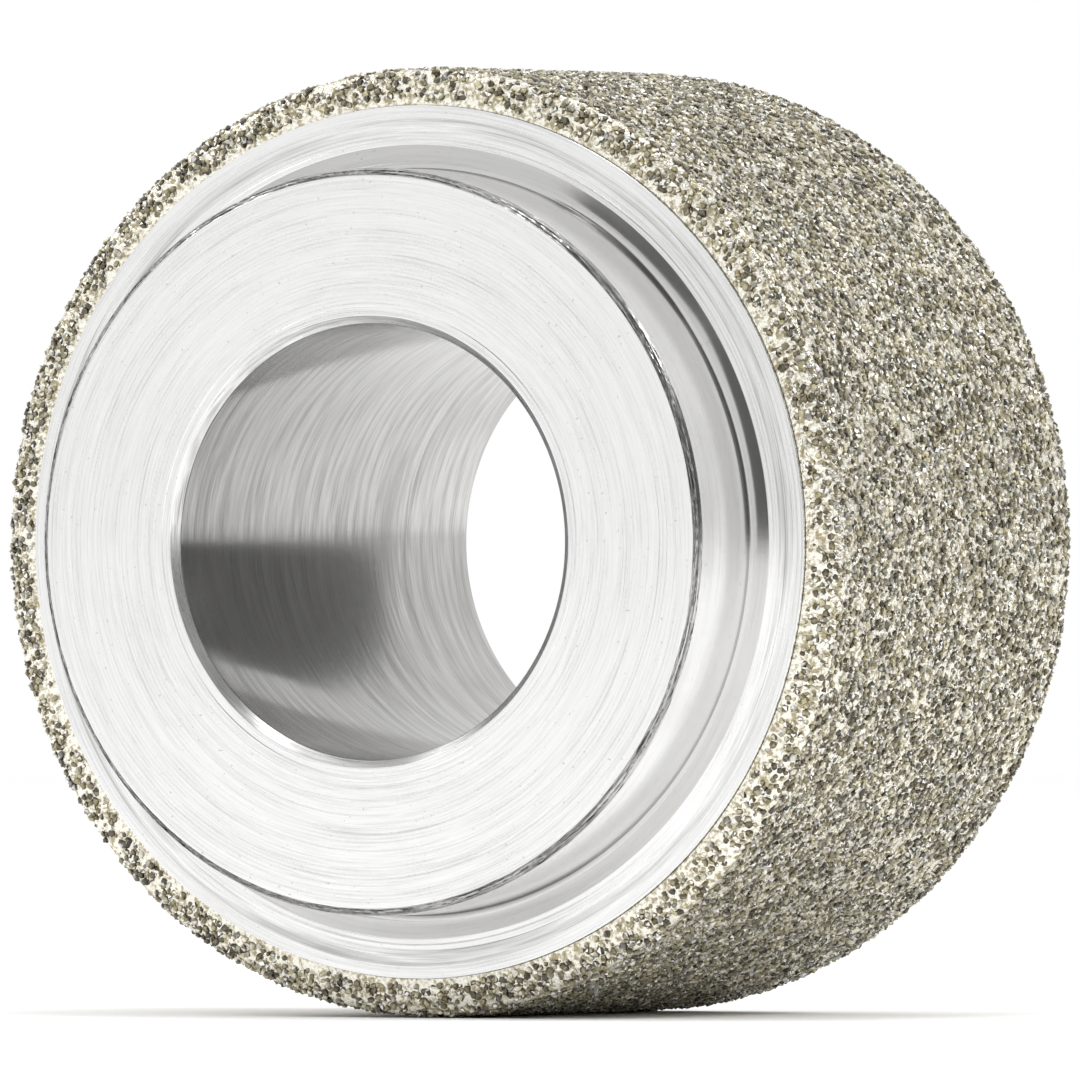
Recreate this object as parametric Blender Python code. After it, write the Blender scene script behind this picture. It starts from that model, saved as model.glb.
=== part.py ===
"""Diamond grinding wheel: a turned metal core with an electroplated diamond rim.

The wheel's axis lies along Y. The boss that the machine's flange bears on faces -Y.
The origin is the middle of the wheel's box, on its axis.

The layers are turned from profiles. A profile is a closed list of (radius, y) corners, and
spinning it once around the axis makes one closed body. Every body has the same number of
facets, so that the thin gaps between the layers stay even all the way round.
"""

import math

import bmesh
import bpy

MM = 0.001

# The whole wheel
WHEEL_RADIUS = 17.5 * MM
WHEEL_LENGTH = 23.5 * MM
FACETS = 80
ARC_STEPS = 4

# The core's bore
BORE_RADIUS = 8.0 * MM
FRONT_BORE_CHAMFER = 0.3 * MM
REAR_BORE_CHAMFER = 1.0 * MM

# The core's boss, with the relief groove around its foot and the bare ring outside it
BOSS_RADIUS = 13.7 * MM
BOSS_HEIGHT = 3.75 * MM
BOSS_EDGE_CHAMFER = 0.27 * MM
GROOVE_OUTER_RADIUS = 14.6 * MM
GROOVE_DEPTH = 0.20 * MM
GROOVE_STEPS = 8
RING_RADIUS = 16.05 * MM

# The rounded, coated corners: how far each one reaches along the axis
FRONT_CORNER_DEPTH = 0.65 * MM
REAR_CORNER_DEPTH = 1.6 * MM

# The coating, measured down from the tips of the grains to the core
COATING_DEPTH = 0.30 * MM
LAYER_GAP = 0.02 * MM
GRIT_DEPTH = 0.11 * MM
BOND_DEPTH = 0.10 * MM
STRIKE_DEPTH = 0.03 * MM
BARE_EDGE_WIDTH = 0.10 * MM

FRONT_FACE_Y = -WHEEL_LENGTH / 2
REAR_FACE_Y = WHEEL_LENGTH / 2
RING_FACE_Y = FRONT_FACE_Y + BOSS_HEIGHT
FRONT_CORNER_Y = RING_FACE_Y + FRONT_CORNER_DEPTH
REAR_CORNER_Y = REAR_FACE_Y - REAR_CORNER_DEPTH

QUARTER_TURN = math.pi / 2
SHARP_ANGLE = math.radians(28)


def corner_arc(inner_radius, depth, towards_rear, start_angle=0.0):
    """The rounded corner at one end of a layer, from its flat end out to its round side.

    The arc is a quarter of an ellipse. depth is how far it lies below the tips of the grains.
    """
    centre_y = REAR_CORNER_Y if towards_rear else FRONT_CORNER_Y
    reach = REAR_CORNER_DEPTH if towards_rear else FRONT_CORNER_DEPTH
    direction = 1 if towards_rear else -1
    radial_axis = WHEEL_RADIUS - inner_radius - depth
    axial_axis = reach - depth
    corners = []
    for step in range(ARC_STEPS + 1):
        angle = start_angle + (QUARTER_TURN - start_angle) * step / ARC_STEPS
        radius = inner_radius + radial_axis * math.sin(angle)
        y = centre_y + direction * axial_axis * math.cos(angle)
        corners.append((radius, y))
    return corners


def groove_arc():
    """The relief groove, from the foot of the boss out to the bare ring.

    It is deepest close to the boss, where the tool's round nose turned the inside corner, and
    rises in a long shallow slope to the ring.
    """
    corners = []
    for step in range(GROOVE_STEPS + 1):
        share = step / GROOVE_STEPS
        radius = BOSS_RADIUS + (GROOVE_OUTER_RADIUS - BOSS_RADIUS) * share
        y = RING_FACE_Y + GROOVE_DEPTH * math.sin(math.pi * math.sqrt(share))
        corners.append((radius, y))
    return corners


def core_profile():
    """The turned blank: bore, boss, groove, bare ring and the seats for the coating."""
    front = corner_arc(RING_RADIUS, COATING_DEPTH, towards_rear=False)
    rear = corner_arc(RING_RADIUS, COATING_DEPTH, towards_rear=True)
    return [
        (BORE_RADIUS, FRONT_FACE_Y + FRONT_BORE_CHAMFER),
        (BORE_RADIUS + FRONT_BORE_CHAMFER, FRONT_FACE_Y),
        (BOSS_RADIUS - BOSS_EDGE_CHAMFER, FRONT_FACE_Y),
        (BOSS_RADIUS, FRONT_FACE_Y + BOSS_EDGE_CHAMFER),
        *groove_arc(),
        (RING_RADIUS, RING_FACE_Y),
        *front,
        *reversed(rear),
        (RING_RADIUS, REAR_FACE_Y),
        (BORE_RADIUS + REAR_BORE_CHAMFER, REAR_FACE_Y),
        (BORE_RADIUS, REAR_FACE_Y - REAR_BORE_CHAMFER),
    ]


def full_layer_profile(top, thickness):
    """A plated layer that wraps both corners and the round side in one piece."""
    inner_radius = RING_RADIUS + LAYER_GAP
    bottom = top + thickness
    outside = corner_arc(inner_radius, top, towards_rear=False)
    outside += reversed(corner_arc(inner_radius, top, towards_rear=True))
    inside = corner_arc(inner_radius, bottom, towards_rear=True)
    inside += reversed(corner_arc(inner_radius, bottom, towards_rear=False))
    return outside + inside


def corner_grit_profile(towards_rear):
    """The grains on one rounded corner. They stop short of the ring, where the bond is bare."""
    inner_radius = RING_RADIUS + LAYER_GAP
    start_angle = math.asin(BARE_EDGE_WIDTH / (WHEEL_RADIUS - inner_radius))
    outside = corner_arc(inner_radius, 0.0, towards_rear, start_angle)
    inside = corner_arc(inner_radius, GRIT_DEPTH, towards_rear, start_angle)
    return outside + inside[::-1]


def side_grit_profile():
    """The grains on the round side, between the two corners."""
    front_y = FRONT_CORNER_Y + LAYER_GAP
    rear_y = REAR_CORNER_Y - LAYER_GAP
    floor_radius = WHEEL_RADIUS - GRIT_DEPTH
    return [
        (WHEEL_RADIUS, front_y),
        (WHEEL_RADIUS, rear_y),
        (floor_radius, rear_y),
        (floor_radius, front_y),
    ]


def plain_material(name, colour, roughness, metallic):
    material = bpy.data.materials.new(name)
    material.use_nodes = True
    surface = material.node_tree.nodes["Principled BSDF"]
    surface.inputs["Base Color"].default_value = (*colour, 1.0)
    surface.inputs["Roughness"].default_value = roughness
    surface.inputs["Metallic"].default_value = metallic
    return material


def turned(name, profile, material):
    """One closed body, made by spinning the profile once around the wheel's axis."""
    shape = bmesh.new()
    corners = [shape.verts.new((radius, y, 0.0)) for radius, y in profile]
    for first, second in zip(corners, corners[1:] + corners[:1]):
        shape.edges.new((first, second))
    bmesh.ops.spin(
        shape,
        geom=shape.verts[:] + shape.edges[:],
        cent=(0.0, 0.0, 0.0),
        axis=(0.0, 1.0, 0.0),
        angle=math.tau,
        steps=FACETS,
        use_merge=True,
    )
    bmesh.ops.recalc_face_normals(shape, faces=shape.faces)
    mesh = bpy.data.meshes.new(name)
    shape.to_mesh(mesh)
    shape.free()
    mesh.shade_smooth()
    mesh.set_sharp_from_angle(angle=SHARP_ANGLE)
    mesh.materials.append(material)
    body = bpy.data.objects.new(name, mesh)
    bpy.context.scene.collection.objects.link(body)
    return body


for leftover in list(bpy.data.objects):
    bpy.data.objects.remove(leftover)

turned_metal = plain_material("turned_metal", (0.80, 0.80, 0.81), 0.30, 1.0)
strike_plate = plain_material("strike_plate", (0.62, 0.59, 0.53), 0.45, 1.0)
nickel_plate = plain_material("nickel_plate", (0.72, 0.68, 0.58), 0.35, 1.0)
front_crystal = plain_material("front_crystal", (0.44, 0.40, 0.28), 0.25, 0.0)
side_crystal = plain_material("side_crystal", (0.36, 0.34, 0.26), 0.25, 0.0)
rear_crystal = plain_material("rear_crystal", (0.40, 0.37, 0.27), 0.25, 0.0)

bond_top = GRIT_DEPTH + LAYER_GAP
strike_top = bond_top + BOND_DEPTH + LAYER_GAP

turned("wheel_core", core_profile(), turned_metal)
turned("nickel_strike", full_layer_profile(strike_top, STRIKE_DEPTH), strike_plate)
turned("nickel_bond", full_layer_profile(bond_top, BOND_DEPTH), nickel_plate)
turned("diamond_grit_front_corner", corner_grit_profile(towards_rear=False), front_crystal)
turned("diamond_grit_round_side", side_grit_profile(), side_crystal)
turned("diamond_grit_rear_corner", corner_grit_profile(towards_rear=True), rear_crystal)
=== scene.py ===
# %% [markdown]
# # A diamond grinding wheel
#
# This small wheel is 35 mm across. Its core is turned from bright metal, and its rim carries one
# layer of diamond grains in electroplated nickel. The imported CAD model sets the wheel's size and
# place. This lesson keeps them, and builds what makes the wheel look real: tool marks on turned
# metal, a nickel skin, and thousands of separate crystals.

import math

import bmesh
import bpy
import numpy as np
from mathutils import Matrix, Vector, noise


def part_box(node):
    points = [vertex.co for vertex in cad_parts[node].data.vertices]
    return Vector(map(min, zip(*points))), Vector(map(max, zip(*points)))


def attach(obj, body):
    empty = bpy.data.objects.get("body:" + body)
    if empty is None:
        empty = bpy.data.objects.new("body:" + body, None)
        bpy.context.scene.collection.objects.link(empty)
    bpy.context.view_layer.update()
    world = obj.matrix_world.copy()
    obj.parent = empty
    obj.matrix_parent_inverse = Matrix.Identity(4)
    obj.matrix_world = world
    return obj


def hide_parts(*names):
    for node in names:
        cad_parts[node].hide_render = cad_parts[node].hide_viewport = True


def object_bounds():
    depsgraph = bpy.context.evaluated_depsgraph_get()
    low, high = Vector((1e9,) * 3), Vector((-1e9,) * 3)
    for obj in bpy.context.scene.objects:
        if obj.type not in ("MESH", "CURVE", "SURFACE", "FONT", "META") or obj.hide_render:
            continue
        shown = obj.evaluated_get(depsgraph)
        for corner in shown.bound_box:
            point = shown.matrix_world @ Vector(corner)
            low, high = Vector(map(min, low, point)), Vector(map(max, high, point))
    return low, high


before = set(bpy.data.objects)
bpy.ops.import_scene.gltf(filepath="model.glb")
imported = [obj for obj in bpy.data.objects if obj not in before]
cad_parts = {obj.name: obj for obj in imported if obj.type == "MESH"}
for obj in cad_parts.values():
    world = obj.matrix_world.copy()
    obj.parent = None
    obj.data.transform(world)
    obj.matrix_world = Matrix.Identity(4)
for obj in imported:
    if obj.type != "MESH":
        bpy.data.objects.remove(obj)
cad_low, cad_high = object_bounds()
MM = 0.001
wheel_radius = (cad_high.x - cad_low.x) / 2
front_y, rear_y = cad_low.y, cad_high.y
wheel_length = rear_y - front_y
print(f"the wheel is {2 * wheel_radius / MM:.1f} mm across and {wheel_length / MM:.1f} mm long")

# %% [markdown]
# ## Where the surfaces lie
#
# The boxes of the CAD pieces say where each layer begins and ends. The grains cover three
# surfaces: the front corner, the round side and the rear corner. The corners are quarter ellipses
# between the bare ring and the round side, so a corner needs only its depth along the axis. The
# sizes that no box can tell, such as the bore's, are written here as on a workshop drawing.

# %% Read the layers and name the core's turned sizes
side_low, side_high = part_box("diamond_grit_round_side")
front_corner_y, rear_corner_y = side_low.y, side_high.y
core_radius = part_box("wheel_core")[1].x
bond_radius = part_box("nickel_bond")[1].x

BORE_RADIUS = 8.0 * MM
FRONT_BORE_CHAMFER = 0.3 * MM
REAR_BORE_CHAMFER = 1.0 * MM
BOSS_RADIUS = 13.7 * MM
BOSS_HEIGHT = 3.75 * MM
BOSS_EDGE_CHAMFER = 0.27 * MM
GROOVE_OUTER_RADIUS = 14.6 * MM
GROOVE_DEPTH = 0.20 * MM
RING_RADIUS = 16.05 * MM
PLATE_START_RADIUS = 16.07 * MM
BARE_EDGE_WIDTH = 0.10 * MM
ring_y = front_y + BOSS_HEIGHT
coating_depth = wheel_radius - core_radius
radii = {"core": core_radius, "bond": bond_radius, "grain tips": wheel_radius}
print({layer: round(radius / MM, 3) for layer, radius in radii.items()})

# %% [markdown]
# ## Spinning a profile
#
# The core was turned on a lathe and the nickel follows it, so each is a profile carried once
# around the axis. Blender's Screw modifier or bmesh's spin would do that. Here the points are
# worked out with numpy, because the next steps move many of them, and arrays make that quick.
# The profile runs from front to rear on the outside and back along the inside, which makes all
# faces look outwards.

# %% Spin a closed profile into a ring
CORE_FACETS = 720
SHARP_ANGLE = math.radians(26)
rng = np.random.default_rng(35)


def spun(profile, facets):
    """The points and four-sided faces of a ring with this closed (radius, y) profile."""
    corners = np.array(profile)
    angle = np.arange(facets) * math.tau / facets
    radius = corners[:, :1]
    x = radius * np.cos(angle)
    y = np.repeat(corners[:, 1:2], facets, axis=1)
    z = radius * np.sin(angle)
    points = np.stack([x, y, z], axis=-1).reshape(-1, 3)
    row = np.arange(len(corners))[:, None] * facets
    next_row = np.roll(row, -1, axis=0)
    column = np.arange(facets)[None, :]
    next_column = np.roll(column, -1, axis=1)
    corners_of_faces = (row + column, next_row + column, next_row + next_column, row + next_column)
    faces = np.stack(np.broadcast_arrays(*corners_of_faces), axis=-1).reshape(-1, 4)
    return points, faces


def show(name, points, faces, smooth=True):
    """A new object at the origin with these points and faces."""
    mesh = bpy.data.meshes.new(name)
    mesh.from_pydata(points, [], faces)
    mesh.update()
    if smooth:
        mesh.shade_smooth()
        mesh.set_sharp_from_angle(angle=SHARP_ANGLE)
    piece = bpy.data.objects.new(name, mesh)
    bpy.context.scene.collection.objects.link(piece)
    print(f"{name}: {len(mesh.vertices)} points, {len(mesh.polygons)} faces")
    return piece


# %% [markdown]
# ## Edges that catch the light
#
# No real edge is perfectly sharp. A lathe leaves a radius of a few hundredths of a millimetre,
# and that thin strip is what draws a bright line around a part. Each corner of the profile
# below carries the width of its own rounding. A holding ring on either side of it keeps the
# smooth shading inside the strip, so that the flat faces still shine flat.

# %% Round the corners of a profile
ROUNDING_STEPS = 3
HOLD = 2.0  # a holding ring stands this many roundings from its corner
MOST_ROOM = 0.24  # a rounding takes up at most this share of the side next to it


def softened(corners):
    """A profile of (radius, y, rounding) with each corner turned into a short curve."""
    soft = []
    for index, (radius, y, rounding) in enumerate(corners):
        here = np.array((radius, y))
        before = np.array(corners[index - 1][:2])
        after = np.array(corners[(index + 1) % len(corners)][:2])
        if rounding == 0:
            soft.append(here)
            continue
        back = (before - here) / np.linalg.norm(before - here)
        ahead = (after - here) / np.linalg.norm(after - here)
        back_room = min(rounding, MOST_ROOM * np.linalg.norm(before - here))
        ahead_room = min(rounding, MOST_ROOM * np.linalg.norm(after - here))
        start, end = here + back * back_room, here + ahead * ahead_room
        soft.append(here + back * back_room * HOLD)
        for step in range(ROUNDING_STEPS + 1):
            share = step / ROUNDING_STEPS
            soft.append(start * (1 - share) ** 2 + here * 2 * share * (1 - share) + end * share**2)
        soft.append(here + ahead * ahead_room * HOLD)
    return soft


def corner_arc(inner_radius, depth, towards_rear, steps):
    """The rounded corner at one end, from its flat end out to the round side, without rounding."""
    centre_y = rear_corner_y if towards_rear else front_corner_y
    flat_y = rear_y if towards_rear else ring_y
    direction = 1 if towards_rear else -1
    axial = abs(flat_y - centre_y) - depth
    radial = wheel_radius - inner_radius - depth
    angles = [math.pi / 2 * step / steps for step in range(steps + 1)]
    return [
        (inner_radius + radial * math.sin(a), centre_y + direction * axial * math.cos(a), 0.0)
        for a in angles
    ]


# %% [markdown]
# ## The turned core
#
# The core is one piece of bar: a bore, a boss, a groove around the foot of the boss, and a bare
# ring. The groove is deepest close to the boss, where the tool's round nose turned the corner. The
# tool also left two fine lines where it stopped, one outside the bore and one outside the groove.
# The edge of the boss has a chamfer with two small steps, where the tool dragged a little metal
# along. With 720 facets around, the outline still looks round from close by.

# %% Draw the core's profile and spin it
FINE = 0.02 * MM
SOFT = 0.05 * MM
LINE_DEPTH = 0.018 * MM
LINE_WIDTH = 0.05 * MM
BORE_LINE_RADIUS = 8.62 * MM
RING_LINE_RADIUS = 14.80 * MM
BAND_START_RADIUS = 15.02 * MM
BAND_RADIUS = 15.6 * MM
GROOVE_STEPS = 22
SEAT_STEPS = 8
WALL_FOOT_HEIGHT = 0.04 * MM
GROOVE_LIP_WIDTH = 0.03 * MM
# The burred edge of the boss, in mm outwards and backwards from the start of its chamfer
EDGE_STEPS = ((0.06, 0.06), (0.10, 0.07), (0.16, 0.13), (0.20, 0.14))
front_seat = corner_arc(RING_RADIUS, coating_depth, False, SEAT_STEPS)
rear_seat = corner_arc(RING_RADIUS, coating_depth, True, SEAT_STEPS)
groove = []
for step in range(GROOVE_STEPS + 1):
    share = step / GROOVE_STEPS
    groove_radius = BOSS_RADIUS + (GROOVE_OUTER_RADIUS - BOSS_RADIUS) * share
    groove_y = ring_y + GROOVE_DEPTH * math.sin(math.pi * math.sqrt(share))
    groove.append((groove_radius, groove_y, 0.0))


def turned_line(radius, y):
    """Three corners of a fine line cut into a flat face."""
    half = LINE_WIDTH / 2
    return [(radius - half, y, 0.0), (radius, y + LINE_DEPTH, 0.0), (radius + half, y, 0.0)]


chamfer_start = BOSS_RADIUS - BOSS_EDGE_CHAMFER
core_corners = [
    (BORE_RADIUS, front_y + FRONT_BORE_CHAMFER, FINE),
    (BORE_RADIUS + FRONT_BORE_CHAMFER, front_y, FINE),
    *turned_line(BORE_LINE_RADIUS, front_y),
    (chamfer_start, front_y, FINE),
    *[(chamfer_start + out * MM, front_y + back * MM, FINE / 2) for out, back in EDGE_STEPS],
    (BOSS_RADIUS, front_y + BOSS_EDGE_CHAMFER, FINE),
    (BOSS_RADIUS, ring_y - WALL_FOOT_HEIGHT, 0.0),
    *groove,
    (GROOVE_OUTER_RADIUS + GROOVE_LIP_WIDTH, ring_y, 0.0),
    *turned_line(RING_LINE_RADIUS, ring_y),
    (BAND_START_RADIUS, ring_y, 0.0),
    (BAND_RADIUS, ring_y, 0.0),
    (RING_RADIUS, ring_y, FINE),
    *front_seat,
    *reversed(rear_seat),
    (RING_RADIUS, rear_y, SOFT),
    (BORE_RADIUS + REAR_BORE_CHAMFER, rear_y, SOFT),
    (BORE_RADIUS, rear_y - REAR_BORE_CHAMFER, SOFT),
]
core_profile = softened(core_corners)
core_points, core_faces = spun(core_profile, CORE_FACETS)

# %% [markdown]
# ## A ragged edge
#
# On the boss's edge the tool tore the metal a little, which leaves a fine, broken double line.
# A bump texture can't change an outline, so the points of the chamfer are moved themselves. The
# noise is read along the edge in many short steps, and moves each ring of points its own way.

# %% Roughen the edge of the boss
RAGGED_REACH = 0.035 * MM
RAGGED_PER_RADIAN = 95
RING_SHIFT = 3.7
INNER_MARGIN, OUTER_MARGIN = 0.03 * MM, 0.01 * MM
HIGHEST_BURR, DEEPEST_BITE = -0.6, 1.0
core_rings = core_points.reshape(len(core_profile), CORE_FACETS, 3)
turn = np.arange(CORE_FACETS) * math.tau / CORE_FACETS
for index, (radius, y) in enumerate(core_profile):
    near_front = y < front_y + BOSS_EDGE_CHAMFER
    if not (near_front and chamfer_start + INNER_MARGIN < radius < BOSS_RADIUS - OUTER_MARGIN):
        continue
    walk = np.stack([np.cos(turn), np.sin(turn)], axis=1) * RAGGED_PER_RADIAN
    bite = np.array([noise.noise((across, up, index * RING_SHIFT)) for across, up in walk])
    core_rings[index, :, 1] += RAGGED_REACH * np.clip(bite, HIGHEST_BURR, DEEPEST_BITE)

wheel_core = show("turned_core", core_points, core_faces)
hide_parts("wheel_core")
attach(wheel_core, "root")

# %% [markdown]
# ## The nickel skin
#
# Nickel is plated around the feet of the grains until more than half of each is buried. The
# plate is not flat, because it humps up towards the crystals. The skin gets a gentle relief of
# that kind: noise about as wide as a grain moves its points in and out. The relief doesn't know
# where the crystals stand.

# %% Plate the rim with nickel
BOND_FACETS = 720
BOND_SIDE_RINGS = 100
BOND_ARC_STEPS = 9
BOND_INNER_STEPS = 4
RELIEF_WIDTH = 0.20 * MM
RELIEF_HEIGHT = 0.035 * MM
BOND_THICKNESS = 0.10 * MM
bond_depth = wheel_radius - bond_radius
outer = corner_arc(PLATE_START_RADIUS, bond_depth, False, BOND_ARC_STEPS)
for step in range(1, BOND_SIDE_RINGS):
    y = front_corner_y + (rear_corner_y - front_corner_y) * step / BOND_SIDE_RINGS
    outer.append((bond_radius, y, 0.0))
outer += reversed(corner_arc(PLATE_START_RADIUS, bond_depth, True, BOND_ARC_STEPS))
inner = corner_arc(PLATE_START_RADIUS, bond_depth + BOND_THICKNESS, True, BOND_INNER_STEPS)
inner += corner_arc(PLATE_START_RADIUS, bond_depth + BOND_THICKNESS, False, BOND_INNER_STEPS)[::-1]
bond_profile = [corner[:2] for corner in outer + inner]
bond_points, bond_faces = spun(bond_profile, BOND_FACETS)
bond_rings = bond_points.reshape(len(bond_profile), BOND_FACETS, 3)
relief = np.zeros(bond_rings.shape[:2])
for index in range(1, len(outer) - 1):
    relief[index] = [noise.noise(place / RELIEF_WIDTH) for place in bond_rings[index]]
bond_rings[:, :, [0, 2]] *= 1 + (relief * RELIEF_HEIGHT / bond_radius)[:, :, None]

nickel_skin = show("nickel_skin", bond_points, bond_faces)
relief_layer = nickel_skin.data.attributes.new("relief", "FLOAT", "POINT")
relief_layer.data.foreach_set("value", relief.reshape(-1).astype(np.float32))
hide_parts("nickel_bond")
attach(nickel_skin, "root")

# %% [markdown]
# ## Cutting the crystals
#
# Grinding diamond is grown as small blocky crystals, mostly cubes with their corners cut off.
# A cuboctahedron has that shape. Thirty slightly uneven ones are made, each as the convex hull of
# its twelve shaken corners, so no two look quite alike and every facet is flat.

# %% Make the thirty crystal shapes
SHAPES = 30
SHAKE = 0.16
LEAST_STRETCH, MOST_STRETCH = 0.82, 1.18
CUBOCTAHEDRON = [
    corner
    for a in (-1, 1)
    for b in (-1, 1)
    for corner in ((a, b, 0), (a, 0, b), (0, a, b))
]


def crystal_shape():
    """The corners and three-sided faces of one uneven crystal, about one unit in radius."""
    stretch = rng.uniform(LEAST_STRETCH, MOST_STRETCH, 3)
    corners = np.array(CUBOCTAHEDRON) / math.sqrt(2)
    corners = corners * stretch + rng.uniform(-SHAKE, SHAKE, corners.shape)
    shape = bmesh.new()
    for corner in corners:
        shape.verts.new(corner)
    hull = bmesh.ops.convex_hull(shape, input=shape.verts[:])
    bmesh.ops.delete(shape, geom=hull["geom_interior"], context="VERTS")
    bmesh.ops.recalc_face_normals(shape, faces=shape.faces)
    shape.verts.index_update()
    points = np.array([corner.co[:] for corner in shape.verts])
    faces = np.array([[corner.index for corner in face.verts] for face in shape.faces])
    shape.free()
    return points, faces


crystal_shapes = [crystal_shape() for _ in range(SHAPES)]
facet_counts = [len(faces) for _, faces in crystal_shapes]
print(f"{SHAPES} crystal shapes with {np.mean(facet_counts):.1f} facets each")

# %% [markdown]
# ## Sowing the grains
#
# Before plating, the wheel is packed in loose grit, so the grains stand side by side on the core
# in one layer. Rows of evenly spaced places, shaken by a third of their spacing, look like that.
# A slow noise thins them out in patches, because a real wheel has bare spots and clusters. The
# rows follow the wheel's outline by its length, so that the corners are sown as densely as the
# side. Throwing darts with a smallest distance between them is another way to do it.

# %% Lay out the rows of places for grains
GRAIN_PITCH = 0.235 * MM
ROW_PITCH = GRAIN_PITCH * math.sqrt(3) / 2
PITCH_SHAKE = 0.34
OUTLINE_STEPS = 60
LOOK_AHEAD = 0.02 * MM


def coated_outline():
    """Points on the core under the coating, from the front edge to the rear edge."""
    front = corner_arc(PLATE_START_RADIUS + BARE_EDGE_WIDTH, coating_depth, False, OUTLINE_STEPS)
    rear = corner_arc(PLATE_START_RADIUS + BARE_EDGE_WIDTH, coating_depth, True, OUTLINE_STEPS)
    return np.array([corner[:2] for corner in front + rear[::-1]])


def sown_places():
    """For every grain: radius, y, angle, and the outward direction as (radial, axial)."""
    outline = coated_outline()
    steps = np.diff(outline, axis=0)
    walked = np.concatenate([[0.0], np.cumsum(np.linalg.norm(steps, axis=1))])
    rows = []
    for number in range(1, int(walked[-1] / ROW_PITCH)):
        middle = number * ROW_PITCH
        radius = np.interp(middle, walked, outline[:, 0])
        count = int(math.tau * radius / GRAIN_PITCH)
        along = middle + rng.uniform(-PITCH_SHAKE, PITCH_SHAKE, count) * ROW_PITCH
        around = np.arange(count) + number % 2 / 2 + rng.uniform(-PITCH_SHAKE, PITCH_SHAKE, count)
        rows.append(np.stack([along, around * math.tau / count], axis=1))
    along, angle = np.concatenate(rows).T
    radius = np.interp(along, walked, outline[:, 0])
    y = np.interp(along, walked, outline[:, 1])
    ahead = np.interp(along + LOOK_AHEAD, walked, outline[:, 0]) - radius
    ahead_y = np.interp(along + LOOK_AHEAD, walked, outline[:, 1]) - y
    length = np.hypot(ahead, ahead_y) + 1e-12
    return radius, y, angle, ahead_y / length, -ahead / length


grain_radius, grain_y, grain_angle, out_radial, out_axial = sown_places()
print(f"{len(grain_radius)} places for grains")

# %% [markdown]
# ## Bare patches and three zones
#
# Grains stick less well near the edge of a plated rim, where the corner turns towards the bare
# ring. So the grains are lost in patches there, and the loss fades over a few millimetres of the
# side. The zone of a grain decides which CAD piece it belongs to.

# %% Thin the grains out in patches
ZONES = ("front", "side", "rear")
PATCH_WIDTH = 0.50 * MM
LOSS_FADE = 1.9 * MM
EDGE_PATCHES, SIDE_PATCHES = 0.32, 0.46
EDGE_LOSS, SIDE_LOSS = 0.11, 0.02

centre = np.stack(
    [grain_radius * np.cos(grain_angle), grain_y, grain_radius * np.sin(grain_angle)], axis=1
)
zone = np.full(len(centre), "front")
zone[grain_y >= front_corner_y] = "side"
zone[grain_y > rear_corner_y] = "rear"
end_distance = np.minimum(grain_y - front_corner_y, rear_corner_y - grain_y)
edge_share = np.exp(-np.clip(end_distance, 0, None) / LOSS_FADE)
patch = np.array([noise.noise(place / PATCH_WIDTH) for place in centre])
limit = SIDE_PATCHES + (EDGE_PATCHES - SIDE_PATCHES) * edge_share
loss = SIDE_LOSS + (EDGE_LOSS - SIDE_LOSS) * edge_share
kept = (patch < limit) & (rng.uniform(size=len(centre)) > loss)
print({name: int((kept & (zone == name)).sum()) for name in ZONES})

# %% [markdown]
# ## Turning each crystal its own way
#
# A grain lands on the core in any position. Random unit quaternions give every turn the same
# chance. Each grain is then lifted until its lowest corner stands on the core, as in the plating
# bath. The finished wheel is trued, which leaves no tip above the rest. So a grain that is taller
# than the coating is sunk until its tip is level.

# %% Place the crystals of one colour in one zone
GRAIN_SIZE = 0.138 * MM
SIZE_SPREAD = 0.13
SMALLEST, LARGEST = 0.6, 1.22
FACET_CHANCE = 0.6
# Painted highlight: this share of the facets that face outwards more than GLINT_UPRIGHT gets
# GLINT_TONE, a white glint painted into the colour.
GLINT_CHANCE = 0.10
GLINT_UPRIGHT = 0.2
GLINT_TONE = 2.0


def random_turns(count):
    """Evenly spread random rotation matrices."""
    w, x, y, z = rng.normal(size=(4, count)) + 1e-9
    size = np.sqrt(w * w + x * x + y * y + z * z)
    w, x, y, z = w / size, x / size, y / size, z / size
    rows = [
        [1 - 2 * (y * y + z * z), 2 * (x * y - w * z), 2 * (x * z + w * y)],
        [2 * (x * y + w * z), 1 - 2 * (x * x + z * z), 2 * (y * z - w * x)],
        [2 * (x * z - w * y), 2 * (y * z + w * x), 1 - 2 * (x * x + y * y)],
    ]
    return np.moveaxis(np.array(rows), -1, 0)


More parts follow.
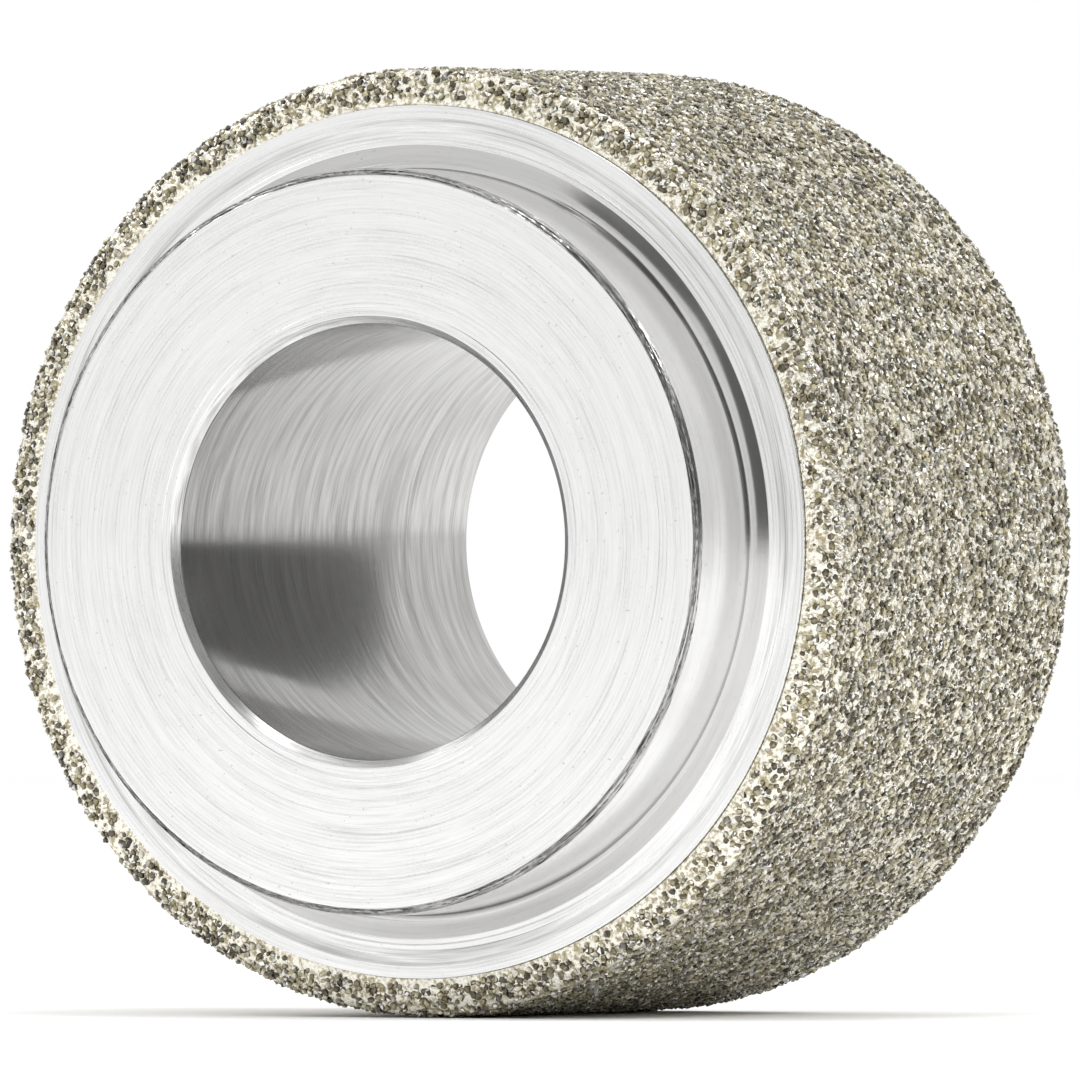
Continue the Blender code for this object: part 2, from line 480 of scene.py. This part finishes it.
def crystal_heap(chosen):
    """All points and faces of these grains, with a tone for each grain, facet and height. The facet
    tones hold painted light and painted glints.
    """
    outward = np.stack(
        [
            out_radial[chosen] * np.cos(grain_angle[chosen]),
            out_axial[chosen],
            out_radial[chosen] * np.sin(grain_angle[chosen]),
        ],
        axis=1,
    )
    foot = centre[chosen]
    count = len(foot)
    shape_of = rng.integers(SHAPES, size=count)
    size = GRAIN_SIZE * np.clip(rng.normal(1.0, SIZE_SPREAD, count), SMALLEST, LARGEST)
    turns = random_turns(count)
    grain_tone = rng.uniform(size=count)
    points, faces, tones, facets, heights = [], [], [], [], []
    start = 0
    for number, (shape_points, shape_faces) in enumerate(crystal_shapes):
        mine = np.flatnonzero(shape_of == number)
        local = np.einsum("nij,pj->npi", turns[mine], shape_points) * size[mine, None, None]
        rise = np.einsum("npi,ni->np", local, outward[mine])
        lowest = rise.min(axis=1, keepdims=True)
        highest = rise.max(axis=1, keepdims=True)
        too_tall = np.clip(highest - lowest - coating_depth, 0.0, None)
        lift = outward[mine][:, None, :] * -(lowest + too_tall)[:, :, None]
        points.append((foot[mine][:, None, :] + local + lift).reshape(-1, 3))
        heights.append(((rise - lowest) / (highest - lowest)).reshape(-1))
        offset = start + np.arange(len(mine)) * len(shape_points)
        faces.append((shape_faces[None] + offset[:, None, None]).reshape(-1, 3))
        tones.append(np.repeat(grain_tone[mine], len(shape_faces)))
        first, second, third = (local[:, shape_faces[:, corner]] for corner in range(3))
        across = np.cross(second - first, third - first)
        across /= np.linalg.norm(across, axis=2, keepdims=True)
        upright = np.einsum("nfi,ni->nf", across, outward[mine])
        own = rng.uniform(size=upright.shape)
        # Painted light: part of each facet's tone is random, and part is lighter the more the facet
        # faces outwards.
        tone = FACET_CHANCE * own + (1 - FACET_CHANCE) * np.clip(upright, 0, 1)
        # Painted highlight: some outward facets get the painted glint tone.
        glint = (rng.uniform(size=upright.shape) < GLINT_CHANCE) & (upright > GLINT_UPRIGHT)
        facets.append(np.where(glint, GLINT_TONE, tone).reshape(-1))
        start += len(mine) * len(shape_points)
    return tuple(np.concatenate(parts) for parts in (points, faces, tones, facets, heights))


# %% [markdown]
# ## Five colours of diamond
#
# Grown diamond is never all one colour. Nitrogen makes it yellow, and crystals with more flaws
# look olive or nearly black. This stock has clear, straw, olive, umber and blue-grey grains. Each
# colour in each zone is a piece of its own, with its own finish.

# %% Sort the grains by colour and build the pieces
COLOUR_SHARES = {
    "front": {"clear": 0.12, "straw": 0.25, "olive": 0.33, "umber": 0.24, "grey": 0.06},
    "side": {"clear": 0.18, "straw": 0.22, "olive": 0.27, "umber": 0.22, "grey": 0.11},
    "rear": {"clear": 0.15, "straw": 0.23, "olive": 0.30, "umber": 0.23, "grey": 0.09},
}
ZONE_NODES = {
    "front": "diamond_grit_front_corner",
    "side": "diamond_grit_round_side",
    "rear": "diamond_grit_rear_corner",
}
lot = rng.uniform(size=len(centre))
diamond_pieces = {}
for zone_name, shares in COLOUR_SHARES.items():
    floor_share = 0.0
    for colour, share in shares.items():
        in_lot = (lot >= floor_share) & (lot < floor_share + share)
        floor_share += share
        chosen = np.flatnonzero(kept & (zone == zone_name) & in_lot)
        points, faces, tones, facets, heights = crystal_heap(chosen)
        piece = show(f"diamonds_{zone_name}_{colour}", points, faces, smooth=False)
        for label, domain, values in (
            ("grain_tone", "FACE", tones),
            ("facet_tone", "FACE", facets),
            ("height", "POINT", heights),
        ):
            layer = piece.data.attributes.new(label, "FLOAT", domain)
            layer.data.foreach_set("value", values.astype(np.float32))
        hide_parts(ZONE_NODES[zone_name])
        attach(piece, "root")
        diamond_pieces[zone_name, colour] = piece

# %% [markdown]
# ## Small helpers for materials
#
# A material is a little network of nodes. These helpers keep the recipes short. The first makes a
# material with its shader, the second adds a node, sets its values and joins its inputs, and the
# rest stand for the nodes that come up most.

# %% Helpers that build node networks
def new_material(name, roughness, metallic, ior=1.5, anisotropic=0.0):
    """A material, its node tree and its shader."""
    material = bpy.data.materials.new(name)
    material.use_nodes = True
    tree = material.node_tree
    shader = tree.nodes["Principled BSDF"]
    shader.inputs["Roughness"].default_value = roughness
    shader.inputs["Metallic"].default_value = metallic
    shader.inputs["IOR"].default_value = ior
    shader.inputs["Anisotropic"].default_value = anisotropic
    shader.inputs["Anisotropic Rotation"].default_value = 0.25
    return material, tree, shader


def add(tree, kind, joins=(), **settings):
    """A new node. joins lists (input, value or output), and settings are the node's own."""
    node = tree.nodes.new("ShaderNode" + kind)
    for name, value in settings.items():
        setattr(node, name, value)
    for socket, value in joins:
        if isinstance(value, bpy.types.NodeSocket):
            tree.links.new(value, node.inputs[socket])
        else:
            node.inputs[socket].default_value = value
    return node


def maths(tree, operation, first, second=0.0):
    """The output of one sum."""
    node = add(tree, "Math", [(0, first), (1, second)], operation=operation)
    return node.outputs[0]


def blended(tree, share, first, second):
    """A colour that goes from first to second as share goes from 0 to 1."""
    node = add(tree, "Mix", data_type="RGBA")
    for name, value in (("Factor", share), ("A", first), ("B", second)):
        if isinstance(value, bpy.types.NodeSocket):
            tree.links.new(value, node.inputs[name])
        else:
            node.inputs[name].default_value = value
    return node.outputs["Result"]


def stretched(tree, value, low, high, to_low=0.0, to_high=1.0):
    """A value carried from one range to another and held inside it."""
    joins = [("Value", value), ("From Min", low), ("From Max", high)]
    joins += [("To Min", to_low), ("To Max", to_high)]
    return add(tree, "MapRange", joins).outputs["Result"]


def speckle(tree, place, per_metre, detail=2.0):
    """Round noise with about this many features to the metre."""
    joins = [("Vector", place), ("Scale", per_metre), ("Detail", detail)]
    return add(tree, "TexNoise", joins).outputs["Fac"]


# %% [markdown]
# ## Tool marks that follow the lathe
#
# A tool mark is a long thin arc around the axis. Ordinary noise is round, so its coordinates are
# changed first: how far out the point is and how far along the axis are multiplied a lot, and the
# direction around the axis only a little. Features then come out thin across the mark and
# long around it. The direction goes in as a cosine and a sine, so that there is no seam.

# %% Noise that is stretched around the axis
class Turning:
    """The place of a point on the lathe, as outputs of a tree."""

    def __init__(self, tree):
        self.tree = tree
        place = add(tree, "TexCoord").outputs["Object"]
        apart = add(tree, "SeparateXYZ", [("Vector", place)])
        flat = add(tree, "CombineXYZ", [("X", apart.outputs["X"]), ("Z", apart.outputs["Z"])])
        self.place = place
        self.along = apart.outputs["Y"]
        joins = [(0, flat.outputs[0])]
        self.out = add(tree, "VectorMath", joins, operation="LENGTH").outputs["Value"]
        way = add(tree, "VectorMath", joins, operation="NORMALIZE").outputs[0]
        around = add(tree, "SeparateXYZ", [("Vector", way)])
        self.cosine, self.sine = around.outputs["X"], around.outputs["Z"]

    def marks(self, width, arcs, detail=2.0, shift=0.0):
        """Noise with marks this wide in metres. More arcs make them shorter around the axis."""
        tree = self.tree
        vector = add(
            tree,
            "CombineXYZ",
            [
                ("X", maths(tree, "MULTIPLY", self.out, 1 / width)),
                ("Y", maths(tree, "MULTIPLY", self.along, 1 / width)),
                ("Z", maths(tree, "MULTIPLY", self.cosine, arcs)),
            ],
        ).outputs[0]
        sideways = maths(tree, "MULTIPLY_ADD", self.sine, arcs)
        sideways.node.inputs[2].default_value = shift
        grain = add(
            tree,
            "TexNoise",
            [("Vector", vector), ("W", sideways), ("Scale", 1.0), ("Detail", detail)],
            noise_dimensions="4D",
        )
        return grain.outputs["Fac"]


# %% [markdown]
# ## Turned metal
#
# A turning tool moves forward a little with every turn, so it cuts one long fine spiral. These
# feed marks look like the lines of a record. Over them lie streaks, some broad and faint, some
# thin and dark, and a few nicks from handling. They change the colour a little, the roughness
# more, and the relief enough to break up a reflection. Turned metal also spreads a highlight
# across its marks, which the anisotropic setting does. Its rotation of a quarter turn is needed
# because Blender stretches a highlight along the tangent, and the tangent runs round the axis.

# %% A finish for turned surfaces
FACED_TONES = ((0.90, 0.898, 0.894, 1.0), (0.52, 0.518, 0.514, 1.0))
COARSE_TONES = ((0.92, 0.918, 0.912, 1.0), (0.42, 0.417, 0.410, 1.0))
WALL_TONES = ((0.98, 0.977, 0.972, 1.0), (0.84, 0.838, 0.832, 1.0))
# Partly painted shade: the bore's tones are darker than the faces' to stand for the shade inside
# the bore, besides its streaky finish.
BORED_AND_SHADE_TONES = ((0.57, 0.564, 0.555, 1.0), (0.25, 0.246, 0.24, 1.0))
FORMED_TONES = ((0.62, 0.617, 0.61, 1.0), (0.40, 0.397, 0.39, 1.0))
# Partly painted shade: the near-black tone paints the shade in the burr's torn lines, besides the
# real burr.
BURR_AND_SHADE_TONES = ((0.62, 0.616, 0.61, 1.0), (0.07, 0.068, 0.066, 1.0))
NICKED = (0.45, 0.44, 0.43, 1.0)
FEED = 0.15 * MM
FEED_WANDER = 2.0
BROAD_MARK_WIDTH = 0.35 * MM
FINE_MARK_WIDTH = 0.07 * MM
THIN_MARK_WIDTH = 0.06 * MM
BURR_WIDTH = 0.040 * MM
NICKS_PER_METRE = 7000.0
MARK_RELIEF = 0.004 * MM
SMOOTHEST, ROUGHEST = 0.8, 1.5
fade_end = 0.7 * rear_y


def turned_finish(
    name, tones, shares, roughness, anisotropic, width=THIN_MARK_WIDTH, arcs=1.5, mouth_shade=1.0
):
    """Metal with marks around the axis. shares are for broad, fine and thin marks, and feed.

    width and arcs are for the thin marks. mouth_shade is painted shade: how bright the metal is at
    the front end of the wheel, against the rear end.
    """
    material, tree, shader = new_material(name, roughness, 1.0, anisotropic=anisotropic)
    lathe = Turning(tree)
    broad = stretched(tree, lathe.marks(BROAD_MARK_WIDTH, 2.0, detail=3.0), 0.38, 0.66)
    fine = stretched(tree, lathe.marks(FINE_MARK_WIDTH, 7.0, shift=9.0), 0.38, 0.68)
    thin = stretched(tree, lathe.marks(width, arcs, detail=1.0, shift=21.0), 0.58, 0.66)
    travel = maths(tree, "MULTIPLY", maths(tree, "ADD", lathe.out, lathe.along), math.tau / FEED)
    travel = maths(tree, "ADD", travel, maths(tree, "MULTIPLY", fine, FEED_WANDER))
    feed = stretched(tree, maths(tree, "SINE", travel), 0.2, 1.0)
    feed = maths(tree, "MULTIPLY", feed, broad)
    streaks = maths(tree, "MULTIPLY", broad, shares[0])
    for mark, share in zip((fine, thin, feed), shares[1:]):
        streaks = maths(tree, "ADD", streaks, maths(tree, "MULTIPLY", mark, share))
    streaks = stretched(tree, streaks, 0.0, 1.0)
    metal = blended(tree, streaks, *tones)
    # Painted shade: the metal is darkened towards the front end of the wheel by mouth_shade, which
    # only the bore uses.
    depth = stretched(tree, lathe.along, front_y, fade_end, mouth_shade, 1.0)
    metal = add(tree, "VectorMath", [(0, metal), ("Scale", depth)], operation="SCALE").outputs[0]
    speck = speckle(tree, lathe.place, NICKS_PER_METRE, detail=1.0)
    nick = stretched(tree, speck, 0.72, 0.78, 0.0, 0.6)
    tree.links.new(blended(tree, nick, metal, NICKED), shader.inputs["Base Color"])
    rough = stretched(tree, streaks, 0.0, 1.0, roughness * SMOOTHEST, roughness * ROUGHEST)
    tree.links.new(rough, shader.inputs["Roughness"])
    height = maths(tree, "SUBTRACT", 1.0, maths(tree, "ADD", streaks, nick))
    bump = add(tree, "Bump", [("Height", height), ("Strength", 0.5), ("Distance", MARK_RELIEF)])
    tree.links.new(bump.outputs["Normal"], shader.inputs["Normal"])
    around = add(tree, "Tangent", direction_type="RADIAL", axis="Y")
    tree.links.new(around.outputs["Tangent"], shader.inputs["Tangent"])
    return material


FACED, BORED, FORMED, COARSE, BURRED, WALL = range(6)
finishes = [
    turned_finish("faced_metal", FACED_TONES, (0.12, 0.18, 0.30, 0.34), 0.26, 0.55),
    turned_finish("bored_metal", BORED_AND_SHADE_TONES, (0.42, 0.30, 0.20, 0.05), 0.15, 0.60, mouth_shade=0.62),
    turned_finish("formed_metal", FORMED_TONES, (0.15, 0.10, 0.10, 0.10), 0.18, 0.40),
    turned_finish("coarse_metal", COARSE_TONES, (0.45, 0.35, 0.45, 0.20), 0.30, 0.55),
    turned_finish("burred_metal", BURR_AND_SHADE_TONES, (0.0, 0.7, 0.9, 0.0), 0.26, 0.30, BURR_WIDTH, 16.0),
    turned_finish("wall_metal", WALL_TONES, (0.25, 0.25, 0.25, 0.15), 0.17, 0.40),
]

# %% [markdown]
# ## Which finish goes where
#
# Each surface was cut in its own way. The faces are bright and show the feed of the tool. The
# wall of the boss is brighter and smoother, and the bore is darker, with streaks; its darkness is
# partly painted shade inside the bore, deepest towards the front end. The groove is smooth and
# grey. A band on the ring and the chamfer at the front of the bore are coarser, and the boss's
# edge is burred, with painted shade in its dark torn lines. The middle of each face says which
# surface it lies on.

# %% Give the core its finishes
CLOSE = 0.001 * MM
BORE_MARGIN = 0.01 * MM
for material in finishes:
    wheel_core.data.materials.append(material)

face_middle = core_points[core_faces].mean(axis=1)
face_out = np.hypot(face_middle[:, 0], face_middle[:, 2])
face_along = face_middle[:, 1]
in_bore = face_out < BORE_RADIUS + BORE_MARGIN
in_groove = (face_out > BOSS_RADIUS + CLOSE) & (face_out < GROOVE_OUTER_RADIUS)
in_chamfer = ~in_bore & (face_out < BORE_RADIUS + FRONT_BORE_CHAMFER)
on_band = (face_out > BAND_START_RADIUS) & (face_out < BAND_RADIUS) & (face_along < front_corner_y)
near_front = face_along < front_y + BOSS_EDGE_CHAMFER
on_edge = (face_out > chamfer_start) & (face_out < BOSS_RADIUS) & near_front
on_wall = (np.abs(face_out - BOSS_RADIUS) < CLOSE) & (face_along < ring_y) & ~near_front
finish = np.full(len(core_faces), FACED, dtype=np.int32)
finish[in_bore] = BORED
finish[in_groove] = FORMED
finish[on_band | in_chamfer] = COARSE
finish[on_edge] = BURRED
finish[on_wall] = WALL
wheel_core.data.polygons.foreach_set("material_index", finish)
print("faces by finish:", np.bincount(finish))

# %% [markdown]
# ## Nickel
#
# Plated nickel is warmer than turned metal. Its humps get painted light and its hollows painted
# shade, and fine pits all over it break up the shine. Two noises make these, one a little narrower
# than a grain and one finer. The humps also follow the relief of the skin.

# %% A finish for the nickel
HUMPS_PER_METRE = 6500.0
PITS_PER_METRE = 14000.0
RELIEF_SHARE = 0.45
PIT_SHARE = 0.25
HUMP_RELIEF = 0.08 * MM


def nickel_finish(name, bright, shaded_hollow_tone):
    """Plated nickel with painted light on its humps, painted shade in its hollows, and fine pits.
    """
    material, tree, shader = new_material(name, 0.3, 1.0)
    place = add(tree, "TexCoord").outputs["Object"]
    hump = speckle(tree, place, HUMPS_PER_METRE)
    pits = speckle(tree, place, PITS_PER_METRE, detail=3.0)
    relief = add(tree, "Attribute", attribute_name="relief").outputs["Fac"]
    # Painted light and shade: the colour goes from the shaded hollow tone to the lit hump tone as
    # the humps and the skin's relief rise.
    lift = maths(tree, "ADD", hump, maths(tree, "MULTIPLY", relief, RELIEF_SHARE))
    shade = stretched(tree, lift, 0.34, 0.56)
    tree.links.new(blended(tree, shade, shaded_hollow_tone, bright), shader.inputs["Base Color"])
    rough = stretched(tree, pits, 0.3, 0.7, 0.16, 0.38)
    tree.links.new(rough, shader.inputs["Roughness"])
    height = maths(tree, "ADD", hump, maths(tree, "MULTIPLY", pits, PIT_SHARE))
    bump = add(tree, "Bump", [("Height", height), ("Strength", 0.9), ("Distance", HUMP_RELIEF)])
    tree.links.new(bump.outputs["Normal"], shader.inputs["Normal"])
    return material


# Each pair is a lit hump tone and a shaded hollow tone: nickel colour with painted light and shade.
BOND_TONES = ((0.95, 0.92, 0.82, 1.0), (0.42, 0.365, 0.235, 1.0))
STRIKE_TONES = ((0.70, 0.67, 0.60, 1.0), (0.52, 0.48, 0.40, 1.0))
bond_nickel = nickel_finish("bond_nickel", *BOND_TONES)
strike_nickel = nickel_finish("strike_nickel", *STRIKE_TONES)
nickel_skin.data.materials.append(bond_nickel)
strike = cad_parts["nickel_strike"]
for slot_index in range(len(strike.material_slots)):
    strike.material_slots[slot_index].material = strike_nickel

# %% [markdown]
# ## Diamond
#
# A rough crystal is partly clear. Light that enters it leaves again through some facets and not
# through others, so neighbouring facets of one grain differ a lot. Glass shading could show this,
# but the crystals here are opaque, so this light is painted into their colour. Each facet takes a
# tone of its own, around its grain's tone, with painted light on facets that face outwards and a
# painted white glint on some of them. The tips are lighter than the feet, which is painted shade
# between the grains. A slow noise makes some patches of the stock darker than others.

# %% A finish for each colour of diamond
DIAMOND_TONES = {
    "clear": ((0.120, 0.105, 0.066), (0.430, 0.395, 0.285), (0.82, 0.78, 0.65)),
    "straw": ((0.072, 0.060, 0.029), (0.270, 0.233, 0.128), (0.63, 0.57, 0.38)),
    "olive": ((0.034, 0.028, 0.013), (0.140, 0.119, 0.058), (0.41, 0.36, 0.22)),
    "umber": ((0.014, 0.011, 0.006), (0.056, 0.045, 0.023), (0.21, 0.175, 0.10)),
    "grey": ((0.062, 0.058, 0.046), (0.220, 0.211, 0.174), (0.57, 0.56, 0.51)),
}
# Painted highlight: the colour of the glints painted onto some facets.
GLINT = (0.98, 0.97, 0.93, 1.0)
GRAIN_SHARE, FACET_SHARE, FLAW_SHARE = 0.30, 0.60, 0.16
DARK_STOP, BODY_STOP, LIGHT_STOP = 0.20, 0.50, 0.82
FLAWS_PER_METRE = 9000.0
CLOUDS_PER_METRE = 1100.0


def diamond_finish(name, tones):
    """Opaque crystal in a dark, a middle and a light tone, with painted white glints and painted
    shade at its feet.
    """
    material, tree, shader = new_material(name, 0.2, 0.0, ior=1.65)
    grain = add(tree, "Attribute", attribute_name="grain_tone").outputs["Fac"]
    facet = add(tree, "Attribute", attribute_name="facet_tone").outputs["Fac"]
    height = add(tree, "Attribute", attribute_name="height").outputs["Fac"]
    place = add(tree, "TexCoord").outputs["Object"]
    flaws = speckle(tree, place, FLAWS_PER_METRE)
    tone = maths(tree, "MULTIPLY", grain, GRAIN_SHARE)
    tone = maths(tree, "ADD", tone, maths(tree, "MULTIPLY", facet, FACET_SHARE))
    tone = maths(tree, "ADD", tone, maths(tree, "MULTIPLY", flaws, FLAW_SHARE))
    ramp = add(tree, "ValToRGB", [("Fac", tone)])
    stops = ramp.color_ramp.elements
    stops[0].position, stops[0].color = DARK_STOP, (*tones[0], 1.0)
    stops[1].position, stops[1].color = 1.0, GLINT
    stops.new(BODY_STOP).color = (*tones[1], 1.0)
    stops.new(LIGHT_STOP).color = (*tones[2], 1.0)
    # Painted shade: each grain is darkened towards its feet, low between its neighbours, and is
    # lighter at its tip.
    lit = stretched(tree, height, 0.52, 0.84, 0.12, 1.0)
    cloud = stretched(tree, speckle(tree, place, CLOUDS_PER_METRE), 0.36, 0.64, 0.68, 1.18)
    lit = maths(tree, "MULTIPLY", lit, cloud)
    shaded = add(tree, "VectorMath", [(0, ramp.outputs["Color"])], operation="SCALE")
    tree.links.new(lit, shaded.inputs["Scale"])
    tree.links.new(shaded.outputs[0], shader.inputs["Base Color"])
    rough = stretched(tree, flaws, 0.3, 0.7, 0.10, 0.30)
    tree.links.new(rough, shader.inputs["Roughness"])
    return material


diamond_finishes = {
    colour: diamond_finish(f"diamond_{colour}", tones) for colour, tones in DIAMOND_TONES.items()
}
for (zone_name, colour), piece in diamond_pieces.items():
    piece.data.materials.append(diamond_finishes[colour])
print(f"{len(diamond_pieces)} pieces of diamond in {len(diamond_finishes)} colours")

# %% [markdown]
# ## The floor
#
# The wheel stands on its rim on plain pale paper. The floor is a wide disc, so that it looks the
# same from every side, with a trace of paper grain.

# %% Lay the floor
FLOOR_RADIUS = 1.1
PAPER_GRAINS_PER_METRE = 900.0
lowest_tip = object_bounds()[0].z
print(f"the lowest grain reaches {(cad_low.z - lowest_tip) / MM:.3f} mm below the CAD model")
bpy.ops.mesh.primitive_circle_add(
    vertices=128, radius=FLOOR_RADIUS, fill_type="NGON", location=(0, 0, lowest_tip)
)
floor = bpy.context.object
floor.name = "paper_floor"
paper, paper_tree, paper_shader = new_material("paper", 0.7, 0.0)
paper_place = add(paper_tree, "TexCoord").outputs["Object"]
paper_grain = speckle(paper_tree, paper_place, PAPER_GRAINS_PER_METRE, detail=4.0)
paper_tones = ((1.0, 1.0, 1.0, 1.0), (0.97, 0.97, 0.97, 1.0))
paper_colour = blended(paper_tree, paper_grain, *paper_tones)
paper_tree.links.new(paper_colour, paper_shader.inputs["Base Color"])
floor.data.materials.append(paper)

# %% [markdown]
# ## Light
#
# Bright metal shows its surroundings more than itself, so a white studio makes it white. The
# world is a plain white dome, with one large softbox in front and above, which the metal doesn't
# show. Three small softboxes add sparkle: a crystal facet or a hump of nickel that happens to
# reflect one of them turns into a white glint.

# %% Light the studio
world = bpy.data.worlds.new("white_dome")
bpy.context.scene.world = world
world.use_nodes = True
world.node_tree.nodes["Background"].inputs["Color"].default_value = (1.0, 1.0, 1.0, 1.0)
world.node_tree.nodes["Background"].inputs["Strength"].default_value = 1.0


def direction(azimuth, elevation):
    """The unit direction from the wheel. Azimuth 0 is along -Y, and 90 is along +X."""
    a, e = math.radians(azimuth), math.radians(elevation)
    return Vector((math.sin(a) * math.cos(e), -math.cos(a) * math.cos(e), math.sin(e)))


def softbox(name, azimuth, elevation, distance, width, watts):
    """A square area light that faces the wheel."""
    light = bpy.data.lights.new(name, "AREA")
    light.shape = "SQUARE"
    light.size = width
    light.energy = watts
    lamp = bpy.data.objects.new(name, light)
    back = direction(azimuth, elevation)
    lamp.location = back * distance
    lamp.rotation_mode = "QUATERNION"
    lamp.rotation_quaternion = (-back).to_track_quat("-Z", "Y")
    bpy.context.scene.collection.objects.link(lamp)
    return lamp


key = softbox("key_softbox", 5, 28, 0.50, 0.30, 0.45)
key.visible_glossy = False
softbox("right_sparkle", 112, 42, 0.45, 0.09, 0.40)
softbox("left_sparkle", -80, 40, 0.45, 0.09, 0.22)
softbox("top_sparkle", 40, 80, 0.45, 0.09, 0.25)

# %% [markdown]
# ## Flags
#
# In an all-white room polished metal has no shape at all. Photographers stand dark cards, which
# they call flags, just outside the view, so that the metal has something dark to show. Here they
# are seen by reflections only: they throw no shadow and the camera doesn't see them. A card
# across the upper half of the bore's rear mouth gives the bore's lower half a dark reflection.
# Black cards, bent round the wheel on the right and above, darken the groove and the chamfers. A
# pale one in front tones down the faces.

# %% Stand up the flags
FIBRES_PER_METRE = 400.0
FIBRE_TONES = (0.9, 1.1)
BEND_POINTS = 13


def card_finish(name, tone):
    """Card of this grey, with a trace of fibre."""
    material, tree, shader = new_material(name, 0.8, 0.0)
    place = add(tree, "TexCoord").outputs["Object"]
    fibre = speckle(tree, place, FIBRES_PER_METRE)
    dark, light = ((tone * share, tone * share, tone * share, 1.0) for share in FIBRE_TONES)
    tree.links.new(blended(tree, fibre, dark, light), shader.inputs["Base Color"])
    return material


black_card = card_finish("black_card", 0.10)
pale_card = card_finish("pale_card", 0.74)
white_card = card_finish("white_card", 0.88)


def flag(name, near_edge, far_edge, material):
    """A card between two rows of points, which shows in reflections only."""
    count = len(near_edge)
    quads = [(i, i + 1, count + i + 1, count + i) for i in range(count - 1)]
    card = show(name, [*near_edge, *far_edge], quads, smooth=False)
    card.data.materials.append(material)
    card.visible_camera = False
    card.visible_diffuse = False
    card.visible_transmission = False
    card.visible_shadow = False


def curved_flag(name, azimuths, elevations, material, distance=0.6):
    """A card bent round the wheel, between two azimuths and two elevations in degrees."""
    steps = np.linspace(*azimuths, BEND_POINTS)
    edges = [[(direction(a, e) * distance)[:] for a in steps] for e in elevations]
    flag(name, *edges, material)


# The lower and upper edge of the card at the bore's rear mouth, as (x, z) in mm
MOUTH_LOW = ((-4.2, 0.0), (0.0, 0.0), (4.0, 0.0), (8.4, 0.0))
MOUTH_HIGH = ((-5.0, 3.8), (-2.2, 6.6), (2.5, 8.0), (8.3, 0.2))
mouth_y = rear_y - 0.1 * MM
mouth_rows = [[(x * MM, mouth_y, z * MM) for x, z in row] for row in (MOUTH_LOW, MOUTH_HIGH)]
flag("bore_flag", *mouth_rows, white_card)
curved_flag("side_flag", (46, 130), (0, 44), black_card)
curved_flag("upper_flag", (-8, 90), (44, 66), black_card)
curved_flag("front_card", (-65, 8), (0, 11), pale_card)

# %% [markdown]
# ## The camera
#
# A small object looks true to its shape from far away through a long lens. The camera is level
# with the wheel's axis and 28 degrees round to the right, so that the bore shows daylight.

# %% Set up the camera
VIEW_AZIMUTH = math.radians(28.1)
VIEW_DISTANCE = 1.06
VIEW_WIDTH = 39.95 * MM
AIM_TO_RIGHT = 0.757 * MM
AIM_UP = 0.07 * MM
camera_data = bpy.data.cameras.new("camera")
camera_data.sensor_width = 36.0
camera_data.lens = camera_data.sensor_width * VIEW_DISTANCE / VIEW_WIDTH
camera_data.clip_start, camera_data.clip_end = 0.05, 10.0
camera = bpy.data.objects.new("camera", camera_data)
right = Vector((math.cos(VIEW_AZIMUTH), math.sin(VIEW_AZIMUTH), 0.0))
back = Vector((math.sin(VIEW_AZIMUTH), -math.cos(VIEW_AZIMUTH), 0.0))
camera.location = back * VIEW_DISTANCE + right * AIM_TO_RIGHT + Vector((0, 0, AIM_UP))
camera.rotation_mode = "QUATERNION"
camera.rotation_quaternion = (-back).to_track_quat("-Z", "Y")
bpy.context.scene.collection.objects.link(camera)
bpy.context.scene.camera = camera
bpy.context.scene.view_settings.view_transform = "Standard"
print(f"camera at {VIEW_DISTANCE:.2f} m with a {camera_data.lens:.0f} mm lens")
